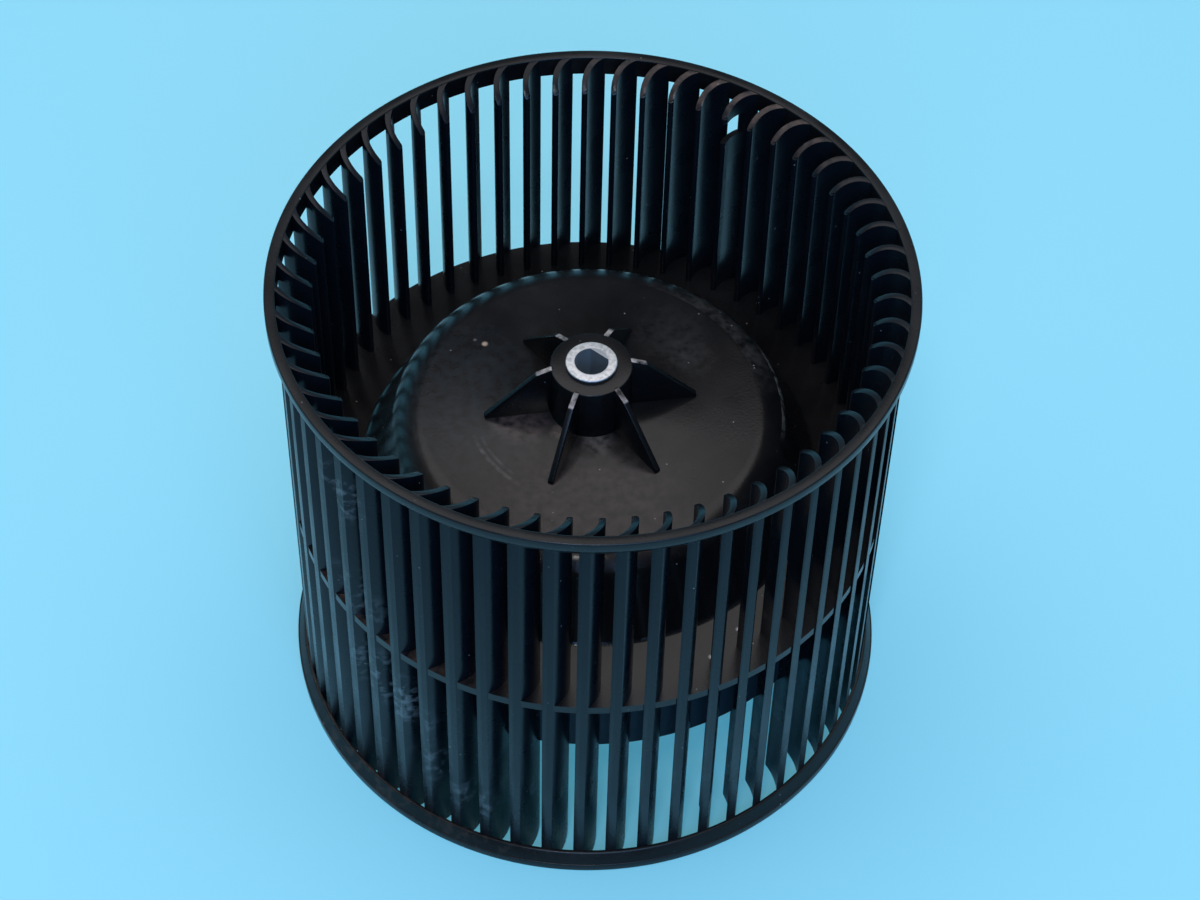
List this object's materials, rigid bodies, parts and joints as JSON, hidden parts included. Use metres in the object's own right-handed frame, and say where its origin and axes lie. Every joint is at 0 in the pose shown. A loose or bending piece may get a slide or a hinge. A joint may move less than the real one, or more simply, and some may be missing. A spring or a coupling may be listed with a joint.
{
  "type": "double inlet blower wheel",
  "caption": "Squirrel-cage wheel of a range hood blower: curved blades between two end rims, a domed middle plate, and a metal D-bore insert that takes the motor shaft from below.",
  "frame": {"origin": "centre of the lower rim's face, on the wheel's axis, where the wheel stands", "axes": "+Z along the wheel's axis, towards the side that the boss and ribs are on; the blades' inner edges lead their outer edges anticlockwise, seen from +Z"},
  "size_m": [0.15, 0.15, 0.135],
  "materials": {
    "black_plastic": "semi-gloss moulded plastic, dusty and lightly scuffed",
    "insert_metal": "turned, satin"
  },
  "bodies": {
    "root": {"impeller": "black_plastic", "hub_insert": "insert_metal"}
  },
  "joints": []
}
